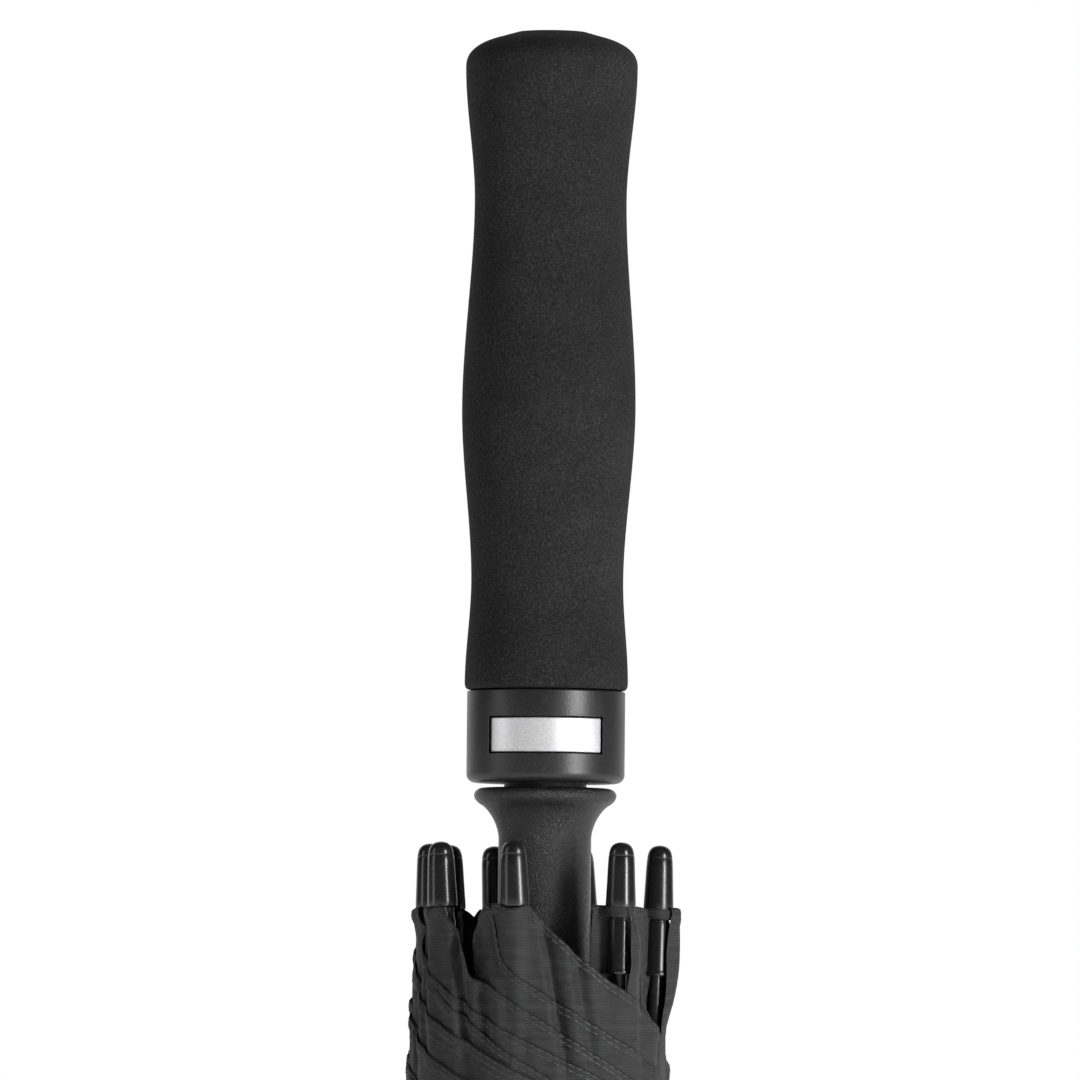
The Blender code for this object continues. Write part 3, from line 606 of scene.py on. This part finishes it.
def layer_gap(z):
    pinch = 1 - 0.4 * np.exp(-(((z - STRAP_Z) / (20 * MM)) ** 2))
    return (LAYER_LOW + (LAYER_TOP - LAYER_LOW) * smooth((z - 0.66) / 0.08)) * pinch


def layers_under(k, phi, z):
    """How many ribs a flap from rib k has passed at azimuth phi, counted evenly in between."""
    count = np.zeros_like(phi)
    for n in range(k, k + 14):
        a, b = rib_azimuth(n, z), rib_azimuth(n + 1, z)
        count += np.clip((phi - a) / (b - a), 0, 1)
    return count


def wander(phi, z, seed, waves, amount):
    """A smooth random field on the roll, made of a few long waves that close round it."""
    made = np.random.default_rng(seed)
    total = np.zeros_like(phi)
    for _ in range(waves):
        around = int(made.integers(2, 11))
        up = made.uniform(4, 34)
        total += made.uniform(0.4, 1.0) * np.sin(around * phi + up * z + made.uniform(0, math.tau))
    return amount * total / waves


def folds(phi, z):
    """Rounded gathers with sharp valleys, which all the layers of the roll share."""
    total = np.zeros(np.broadcast(phi, z).shape)
    for around, lean, height, seed in ((9, 22.0, 1.55, 21), (19, -30.0, 0.75, 22)):
        strength = smooth(0.5 + 2.4 * wander(phi, z, seed, 6, 1.0))
        angle = around * phi + lean * z + 1.6 * np.sin(38 * z + 3 * phi)
        total += height * MM * (np.abs(np.sin(angle)) ** 0.8 - 0.7) * strength
    return total * (0.3 + 0.7 * smooth((z - 0.62) / 0.08)) * smooth((z - 0.09) / 0.2)


def pocket_folds(across, z):
    """Folds beside a pocket, which the cloth under it shares: a sharp valley and a soft one."""
    fade = smooth((0.7855 - z) / 0.006) * smooth((z - 0.742) / 0.02)
    drift = (0.7877 - z) * 0.11
    out = 0
    for place, depth, sharp, soft in ((5.6, 2.3, 0.6, 1.8), (11.5, 1.2, 1.0, 2.2), (17.0, 0.8, 1.4, 2.4)):
        away = (across - place * MM - drift) / MM
        out = out - depth * MM * np.exp(-np.where(away < 0, (away / sharp) ** 2, (away / soft) ** 2))
    return out * fade


def roll_surface(phi, z, layer):
    """The radius of the cloth at azimuth phi and height z, with this many layers under it."""
    ribs = rib_radius(z)
    high = smooth((z - 0.757) / 0.018)
    leftness = (1 - np.cos(phi)) / 2
    low_base = ribs + 1.5 * MM + 2.1 * MM * leftness * smooth((z - 0.55) / 0.2)
    base = low_base * (1 - high) + (28.5 * MM + 0.2 * MM * leftness) * high
    bulge, valleys = np.zeros_like(phi), 0
    for k in range(RIB_COUNT):
        away = (phi - rib_azimuth(k, z) + math.pi) % math.tau - math.pi
        across = away * ribs
        width = 2.5 * MM + 1.0 * MM * (1 - high)
        bulge = np.maximum(bulge, np.exp(-((across / width) ** 2)))
        if k not in EXPOSED:
            valleys = valleys + pocket_folds(across, z)
    height = 2.05 * MM * high + 0.7 * MM * (1 - high)
    radius = base + height * bulge * np.exp(-0.22 * layer) + layer_gap(z) * layer
    settle = 0.4 + 0.6 * smooth((0.79 - z) / 0.05)
    soft = wander(phi, z, 3, 9, 1.3 * MM) + wander(phi * 2, z * 1.7, 5, 7, 0.55 * MM)
    calm = smooth((0.7868 - z) / 0.012)
    return radius + soft * settle * smooth((z - 0.08) / 0.1) + folds(phi, z) * calm + valleys


def fold_reach(z):
    """How far round the roll a flap reaches at a height, from its rib's left edge."""
    width = HALF_ANGLE_TAN * np.maximum(z - CROWN_Z, 0) + 12 * MM
    radius = rib_radius(z) + 3.6 * MM
    return width / radius


FOLD_Z = np.linspace(CLOTH_FOOT, 0.76, 600)
FOLD_REACH = fold_reach(FOLD_Z)


def outer_fall(k, x):
    if k in STEEP_HEMS:
        places, falls = STEEP_HEMS[k]
        return np.interp(x, np.array(places) * MM, np.array(falls) * MM)
    slope, step, reach = OUTER_HEMS[k]
    return slope * x + step * MM * (1 - np.exp(-np.maximum(x, 0) / (reach * MM)))


def inner_fall(k, x):
    """The fall of the returning layer's hem, from the left edge of the next rib's pocket."""
    if (k + 1) % RIB_COUNT in EXPOSED:
        late = np.maximum(x - TUCKED[k + 1] - 4.5 * MM, 0)
        return 0.02 * x + 0.42 * late + 27 * MM * (1 - np.exp(-late / (3.5 * MM)))
    x = x - TURN_IN
    turned_in = 8 * MM * np.clip(-x / TURN_IN, 0, 1) ** 2
    x = np.maximum(x, 0)
    fall = 12 * MM * (1 - np.exp(-x / (1.2 * MM))) + 0.42 * x
    return fall + 8 * MM * (1 - np.exp(-x / (22 * MM))) + turned_in


def flap_layer(k, returning):
    """One layer of a flap as a grid: (points, uv, height under the hem)."""
    owner = k + 1 if returning else k
    exposed = owner % RIB_COUNT in EXPOSED
    if returning:
        left = -TUCKED[owner] if exposed else -LEFT_EAR - TURN_IN
    else:
        left = STARTS[owner] if exposed else -LEFT_EAR
    reach = 29 * MM
    fine = np.arange(0, 96, 1.9)
    coarse = np.arange(96, 640, 5.2)
    turn = np.radians(np.concatenate([fine, coarse]))
    x = turn * reach
    if returning:
        fall = inner_fall(k, x)
    else:
        past = x + left - (STARTS[1] if exposed else EAR)
        dip = 0 if exposed else 1.1 * MM * np.clip(1 - ((x - LEFT_EAR) / EAR) ** 2, 0, 1)
        fall = np.where(past > 0, outer_fall(k, np.maximum(past, 0)), 0) + dip
    top = HEM_Z - fall
    shift = rib_azimuth(k + 1, FOLD_Z) - rib_azimuth(k, FOLD_Z) if returning else 0
    side = (left + LEFT_EAR) / reach
    low = np.interp(turn + side, FOLD_REACH - shift, FOLD_Z, left=CLOTH_FOOT)
    keep = top - low > 3 * MM
    last = len(keep) if keep.all() else int(np.argmin(keep))
    turn, top, low, x = turn[:last], top[:last], low[:last], x[:last]
    share = np.linspace(0, 1, 112)[:, None] ** 1.95
    z = top - (top - low) * share
    scale = (28 * MM) / (rib_radius(z) + 2.5 * MM)
    start = rib_azimuth(owner, z) + left / (28 * MM) * scale
    phi = start + turn
    layer = layers_under(k, phi, z) - (0.5 if returning else 0.0)
    to_fold = fold_reach(z) - (phi - rib_azimuth(k, z) + LEFT_EAR / (28 * MM))
    layer = layer + (0.25 if returning else -0.25) * smooth(1 - to_fold / 0.12)
    radius = roll_surface(phi, z, np.maximum(layer, -0.2))
    under = top - z
    # The doubled hem stands a little proud, with a groove at each line of stitches.
    hem = 0.34 * MM * smooth((2.6 * MM - under) / (0.4 * MM)) - 0.3 * MM * np.exp(-under / (0.16 * MM))
    for line in HEM_LINES:
        hem = hem - 0.10 * MM * np.exp(-(((under - line) / (0.28 * MM)) ** 2))
    pucker = np.exp(-under / (5 * MM)) * 0.10 * MM * np.sin(x / (0.62 * MM) + 3 * np.sin(x / (4 * MM)))
    radius = radius + hem + pucker
    across = x + left
    if exposed and returning:
        tuck = np.exp(-((np.maximum(across, 0) / (8 * MM)) ** 2)) * smooth((z - 0.735) / 0.02)
        radius = radius - 5.5 * MM * tuck
    elif exposed:
        radius = radius + 1.1 * MM * np.exp(-((across / (3.6 * MM)) ** 2)) * smooth((z - UNDER_HEM[owner]) / 0.008)
    elif returning:
        radius = radius - 3.2 * MM * np.clip(1 - x / TURN_IN, 0, 1) ** 1.5 * smooth((z - 0.745) / 0.02)
    else:
        radius = radius - 0.3 * MM * np.exp(-(((across + 0.2 * MM) / (0.3 * MM)) ** 2)) * smooth((z - 0.77) / 0.005)
    points = np.stack([radius * np.cos(phi), radius * np.sin(phi), z], axis=-1)
    uv = np.stack([np.broadcast_to(x, z.shape), z], axis=-1)
    return points, uv, top


def stitches(points, uv, top, offset, pitch=2.2 * MM, length=1.7 * MM):
    """Short threads along a grid's top edge, offset below it."""
    run = np.cumsum(np.r_[0, np.linalg.norm(np.diff(points[0], axis=0), axis=1)])
    out_vertices, out_faces = [], []
    rows = uv[:, :, 1]
    columns = points.shape[1]
    line = np.zeros((columns, 3))
    for j in range(columns):
        for axis in range(3):
            line[j, axis] = np.interp(-(top[j] - offset), -rows[:, j], points[:, j, axis])
    start = 1.0 * MM
    while start + length < min(run[-1], 0.42):
        stations = start + length * np.array([0, 0.5, 1])
        centre = np.stack([np.interp(stations, run, line[:, axis]) for axis in range(3)], axis=-1)
        ahead = centre[2] - centre[0]
        norm = np.linalg.norm(ahead)
        if norm > 0.2 * length:
            ahead /= norm
            out = np.array([centre[1][0], centre[1][1], 0])
            out /= np.linalg.norm(out)
            side = np.cross(out, ahead)
            base = len(out_vertices)
            for n, (lift, wide) in enumerate(((0.0, 0.12), (0.16, 0.17), (0.0, 0.12))):
                for s in (-1, 0, 1):
                    rise = lift if s == 0 else lift * 0.3
                    out_vertices.append(centre[n] + out * rise * MM + side * s * wide * MM)
            for n in range(2):
                for s in range(2):
                    a = base + 3 * n + s
                    out_faces.append((a, a + 3, a + 4, a + 1))
        start += pitch
    return out_vertices, out_faces


def grid_faces(rows, columns, base):
    index = base + np.arange(rows * columns).reshape(rows, columns)
    a, b = index[:-1, :-1].ravel(), index[:-1, 1:].ravel()
    c, d = index[1:, 1:].ravel(), index[1:, :-1].ravel()
    return np.stack([a, d, c, b], axis=-1)


def grid_normals(points):
    down = np.gradient(points, axis=0)
    along = np.gradient(points, axis=1)
    normal = np.cross(along, -down)
    size = np.linalg.norm(normal, axis=-1, keepdims=True)
    outward = points.copy()
    outward[..., 2] = 0
    outward /= np.linalg.norm(outward, axis=-1, keepdims=True)
    normal = np.where(size > 1e-12, normal / np.maximum(size, 1e-12), outward)
    return normal * np.where((normal * outward).sum(-1, keepdims=True) < 0, -1, 1)


def add_furled_cloth():
    """All flaps, cut by azimuth into eight pieces, each attached to its own rib."""
    vertices, normals, uvs, faces, kinds = [], [], [], [], []
    base = 0
    for k in range(RIB_COUNT):
        for returning in (True, False):
            points, uv, top = flap_layer(k, returning)
            rows, columns = points.shape[:2]
            under = top - uv[:, :, 1]
            vertices.append(points.reshape(-1, 3))
            normals.append(grid_normals(points).reshape(-1, 3))
            uvs.append(uv.reshape(-1, 2))
            quads = grid_faces(rows, columns, base)
            faces.append(quads)
            depth = under[:-1, :-1].ravel()
            # Kind 3 is the painted shadow along each hem's edge, kind 1 the hem, kind 0 the plain cloth.
            kinds.append(np.where(depth < HEM_SHADOW_DEPTH, 3, np.where(depth < HEM_DEPTH, 1, 0)))
            base += rows * columns
            for offset in HEM_LINES:
                extra, extra_faces = stitches(points, uv, top, offset)
                if not extra:
                    continue
                extra = np.array(extra)
                out = extra.copy()
                out[:, 2] = 0
                out /= np.linalg.norm(out, axis=1, keepdims=True)
                vertices.append(extra)
                normals.append(out)
                uvs.append(extra[:, :2])
                faces.append(np.array(extra_faces) + base)
                kinds.append(np.full(len(extra_faces), 2))
                base += len(extra)
    vertices, normals = np.concatenate(vertices), np.concatenate(normals)
    uvs, faces, kinds = np.concatenate(uvs), np.concatenate(faces), np.concatenate(kinds)
    centres = vertices[faces].mean(axis=1)
    azimuth = np.arctan2(centres[:, 1], centres[:, 0])
    sector = np.round((azimuth - RIB_AZIMUTHS[0]) / STEP).astype(int) % RIB_COUNT
    made = []
    for k in range(RIB_COUNT):
        chosen = sector == k
        used, local = np.unique(faces[chosen], return_inverse=True)
        local = local.reshape(-1, 4)
        obj = piece(f"furled_cloth_{k + 1}", vertices[used], local, "cloth", f"rib_{k + 1}",
                    [f"canopy_panel_{k + 1}"], uv=uvs[used])
        obj.data.materials.append(HEM_MATERIAL)
        obj.data.materials.append(THREAD)
        obj.data.materials.append(HEM_SHADOW_MATERIAL)
        obj.data.polygons.foreach_set("material_index", kinds[chosen].astype(np.int32))
        obj.data.normals_split_custom_set_from_vertices(normals[used].tolist())
        made.append(obj)
    return made


# ---------------------------------------------------------------- cloth, open


def add_open_cloth():
    """Eight gores, each drawn at rest as a narrow strip from rib to rib inside the roll, its columns
    spaced by their share of the spread between the ribs."""
    made = []
    rows, gap = 60, 0.2 * MM
    spread = np.linspace(0, 1, 23)
    along = np.linspace(8 * MM, RIB_LENGTH - 31 * MM, rows)
    for k in range(RIB_COUNT):
        sides = []
        for rib in (k, (k + 1) % RIB_COUNT):
            outward = Vector((-2.1 * MM if rib in EXPOSED else 2.1 * MM, 0, 0))
            sides.append(np.array([rib_place(rib) @ (rib_line(rib, s) + outward) for s in along]))
        middle = (sides[0][0] + sides[1][0]) / 2
        ahead = sides[1][0] - sides[0][0]
        ahead /= np.linalg.norm(ahead)
        low = ((sides[0] - middle) @ ahead).max() + gap
        high = ((sides[1] - middle) @ ahead).min() - gap
        # Where the turning has gone this far across the strip: the inverse of a smooth step.
        reached = 0.5 - np.sin(np.arcsin(1 - 2 * spread) / 3)
        places = [None, *(low + reached * (high - low)), None]
        turned_by = [0, *spread, 1]
        points, uv = [], []
        for share in along / along[-1]:
            for place, turn in zip(places, turned_by):
                # The hem is cut in a shallow curve, so its middle lies nearer the crown.
                station = share * (1 - 0.10 * 4 * turn * (1 - turn) * share**3) * along[-1]
                near, far = [np.array([np.interp(station, along, side[:, axis]) for axis in range(3)])
                             for side in sides]
                first, last = (near - middle) @ ahead, (far - middle) @ ahead
                across = turn if place is None else (place - first) / (last - first)
                points.append(near + (far - near) * across)
                uv.append(((turn - 0.5) * 2 * station * HALF_ANGLE_TAN, station))
        columns = len(places)
        gore = piece(f"gore_{k + 1}", np.array(points), grid_faces(rows, columns, 0), "cloth", uv=np.array(uv))
        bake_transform(gore)
        made.append(gore)
    return made


def add_strap(furled):
    """The closing strap, pulled round the roll and over its own start, under the press stud."""
    points = np.array([v.co for roll in furled for v in roll.data.vertices])
    points = points[np.abs(points[:, 2] - STRAP_Z) < STRAP_HALF + 3 * MM]
    count = 180
    bins = ((np.arctan2(points[:, 1], points[:, 0]) / math.tau * count).astype(int)) % count
    taut = np.zeros(count)
    np.maximum.at(taut, bins, np.hypot(points[:, 0], points[:, 1]))
    taut = np.max([np.roll(taut, shift) for shift in range(-4, 5)], axis=0)
    for _ in range(12):
        taut = (np.roll(taut, 1) + 2 * taut + np.roll(taut, -1)) / 4
    start, end, steps = math.radians(-135), math.radians(298), 240
    section = [(0.05, -1.0), (0.45, -1.0), (0.72, -0.965), (0.80, -0.9), (0.72, -0.83), (0.80, -0.76), (0.84, 0.0),
               (0.80, 0.76), (0.72, 0.83), (0.80, 0.9), (0.72, 0.965), (0.45, 1.0), (0.05, 1.0)]
    vertices, uv, faces = [], [], []
    for n in range(steps + 1):
        phi = start + (end - start) * n / steps
        near = np.interp(phi / math.tau * count % count, np.arange(count + 1), np.r_[taut, taut[0]])
        lift = 0.85 * MM * float(smooth((phi - start - math.tau + 0.35) / 0.35))
        # The free end is rounded.
        left = (end - phi) * near / STRAP_HALF
        narrow = math.sqrt(max(0.03, 1 - (1 - min(left, 1.0)) ** 2)) if left < 1 else 1.0
        for out, up in section:
            radius, z = near + lift + out * MM, up * STRAP_HALF * narrow
            radius -= math.tan(CLOSED) * STRAP_HALF - math.tan(CLOSED) * z
            vertices.append((radius * math.cos(phi), radius * math.sin(phi), STRAP_Z + z))
            uv.append((z, phi * 30 * MM))
    size = len(section)
    for n in range(steps):
        for i in range(size):
            j = (i + 1) % size
            faces.append((n * size + i, (n + 1) * size + i, (n + 1) * size + j, n * size + j))
    faces.append(tuple(range(size)))
    faces.append(tuple(steps * size + i for i in reversed(range(size))))
    strap = piece("strap", vertices, faces, "cloth", "canopy_1", ["closing_strap"], uv=np.array(uv))
    smooth_mesh(strap.data, 50)
    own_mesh(strap)
    return strap


def add_canopy_centre():
    """The middle of the canopy: pleats gathered round the shaft and turned up round the crown."""
    sides, pleats = 288, 24
    profile = [(7.6, 66.7), (10.5, 66.6), (13.0, 66.65), (15.0, 66.9), (16.1, 67.5), (16.7, 68.6), (16.9, 70.2),
               (16.95, 72.4), (17.0, 74.8), (17.05, 76.2), (17.1, 76.9), (16.9, 77.2), (16.6, 76.9), (16.5, 75.5),
               (16.4, 72.0), (16.2, 69.4), (15.4, 67.9), (13.0, 67.4), (7.6, 67.3)]
    vertices, uv = [], []
    for r, z in profile:
        deep = 0.30 * MM * min(1.0, (r - 7.0) / 9.0)
        for n in range(sides):
            angle = math.tau * n / sides
            ridge = abs(math.sin(pleats * angle / 2 + 0.5 * math.sin(5 * angle))) ** 0.7 - 1
            radius = r * MM + deep * ridge
            vertices.append((radius * math.cos(angle), radius * math.sin(angle), z * MM - 0.25 * deep * ridge))
            uv.append((angle * 16 * MM, z * MM - r * MM))
    faces = []
    for row in range(len(profile) - 1):
        for n in range(sides):
            a, b = row * sides + n, row * sides + (n + 1) % sides
            faces.append((a, b, b + sides, a + sides))
    for n in range(sides):
        a, b = (len(profile) - 1) * sides + n, (len(profile) - 1) * sides + (n + 1) % sides
        faces.append((a, b, (n + 1) % sides, n))
    piece("canopy_gather", vertices, faces, "cloth", "shaft_and_handle", ["canopy_centre"], uv=np.array(uv))


def add_bands():
    """The tape that ties the canopy's corner round the base of an exposed tip."""
    for k in EXPOSED:
        points, faces, uv = [], [], []
        shape = [(3.3, 0.3), (3.5, 0.1), (3.62, -0.2), (3.66, -1.0), (3.62, -1.8), (3.5, -2.1), (3.0, -2.2)]
        sides = 96
        for out, down in shape:
            for n in range(sides):
                angle = math.tau * n / sides
                r = out * MM * (1 + 0.012 * math.sin(7 * angle))
                points.append(tuple(rib_place(k) @ (rib_line(k, RIB_LENGTH - 15.0 * MM) + Vector(
                    (r * math.cos(angle), r * math.sin(angle), down * MM + 0.12 * MM * math.sin(2 * angle))))))
                uv.append((angle * 4 * MM, down * MM))
        for row in range(len(shape) - 1):
            for n in range(sides):
                a, b = row * sides + n, row * sides + (n + 1) % sides
                faces.append((a, a + sides, b + sides, b))
        piece(f"corner_tape_{k + 1}", points, faces, "cloth", f"rib_{k + 1}", uv=np.array(uv), material=HEM_MATERIAL)


def add_cloth():
    furled = add_furled_cloth()
    gores = add_open_cloth()
    strap = add_strap(furled)
    add_canopy_centre()
    add_bands()
    for k, (roll, gore) in enumerate(zip(furled, gores)):
        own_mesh(roll)


# ---------------------------------------------------------------- stage


def add_stage():
    scene = bpy.context.scene
    scene.view_settings.view_transform = "Standard"
    world = bpy.data.worlds.new("studio")
    scene.world = world
    world.use_nodes = True
    studio_walls(world.node_tree)

    floor_mesh = bpy.data.meshes.new("floor")
    floor_mesh.from_pydata([(-30, -30, 0), (30, -30, 0), (30, 30, 0), (-30, 30, 0)], [], [(0, 1, 2, 3)])
    floor = bpy.data.objects.new("floor", floor_mesh)
    floor.location.z = -0.0005
    scene.collection.objects.link(floor)
    n = Nodes("floor", Roughness=0.85)
    n.link(n.ramp(n.noise(6), [(0.3, 0.88), (0.7, 0.90)]), n.shader.inputs["Base Color"])
    n.shader.inputs["Emission Color"].default_value = (1, 1, 1, 1)
    n.shader.inputs["Emission Strength"].default_value = 0.60
    floor_mesh.materials.append(n.material)

    add_softbox("key", 46, 8, 4.0, (0.8, 2.6), 165.0)
    add_softbox("fill", -72, 12, 4.0, (0.7, 3.0), 22.0)

    camera = bpy.data.cameras.new("camera")
    eye = bpy.data.objects.new("camera", camera)
    scene.collection.objects.link(eye)
    scene.camera = eye
    distance, frame_size = 4.0, 0.250
    camera.sensor_width = 36
    camera.lens = 36 * distance / frame_size
    camera.clip_start, camera.clip_end = 0.1, 100
    rise, roll = math.radians(-2.6), math.radians(0.53)
    aim = Vector((-1.76 * MM, 0, 0.8722))
    back = Vector((0, -math.cos(rise), math.sin(rise)))
    eye.location = aim + distance * back
    turn = back.to_track_quat("Z", "Y").to_matrix().to_4x4()
    eye.rotation_euler = (turn @ Matrix.Rotation(roll, 4, "Z")).to_euler()


def studio_walls(tree):
    """A white sweep behind the object and dimmer walls round the camera, seen plain white."""
    place = tree.nodes.new("ShaderNodeTexCoord")
    split = tree.nodes.new("ShaderNodeSeparateXYZ")
    tree.links.new(place.outputs["Generated"], split.inputs["Vector"])
    ramp = tree.nodes.new("ShaderNodeValToRGB")
    stops = ramp.color_ramp.elements
    stops[0].position, stops[0].color = 0.45, (0.06, 0.06, 0.06, 1)
    stops[1].position, stops[1].color = 0.95, (1, 1, 1, 1)
    tree.links.new(split.outputs["Y"], ramp.inputs["Fac"])
    seen = tree.nodes.new("ShaderNodeLightPath")
    mix = tree.nodes.new("ShaderNodeMix")
    mix.data_type = "RGBA"
    mix.inputs["B"].default_value = (1, 1, 1, 1)
    tree.links.new(seen.outputs["Is Camera Ray"], mix.inputs["Factor"])
    tree.links.new(ramp.outputs["Color"], mix.inputs["A"])
    tree.links.new(mix.outputs["Result"], tree.nodes["Background"].inputs["Color"])


def add_softbox(name, azimuth, rise, distance, size, strength):
    """A softbox, azimuth degrees to the right of the camera and aimed at the handle."""
    light = bpy.data.lights.new(name, "AREA")
    light.shape = "RECTANGLE"
    light.size, light.size_y = size
    light.energy = strength
    lamp = bpy.data.objects.new(name, light)
    bpy.context.scene.collection.objects.link(lamp)
    a, e = math.radians(azimuth), math.radians(rise)
    back = Vector((math.sin(a) * math.cos(e), -math.cos(a) * math.cos(e), math.sin(e)))
    lamp.location = Vector((0, 0, 0.84)) + distance * back
    lamp.rotation_euler = back.to_track_quat("Z", "Y").to_euler()


finish_cad_nodes()
add_grip()
add_collar()
add_button()
add_runner()
add_ribs()
add_cloth()
add_stage()
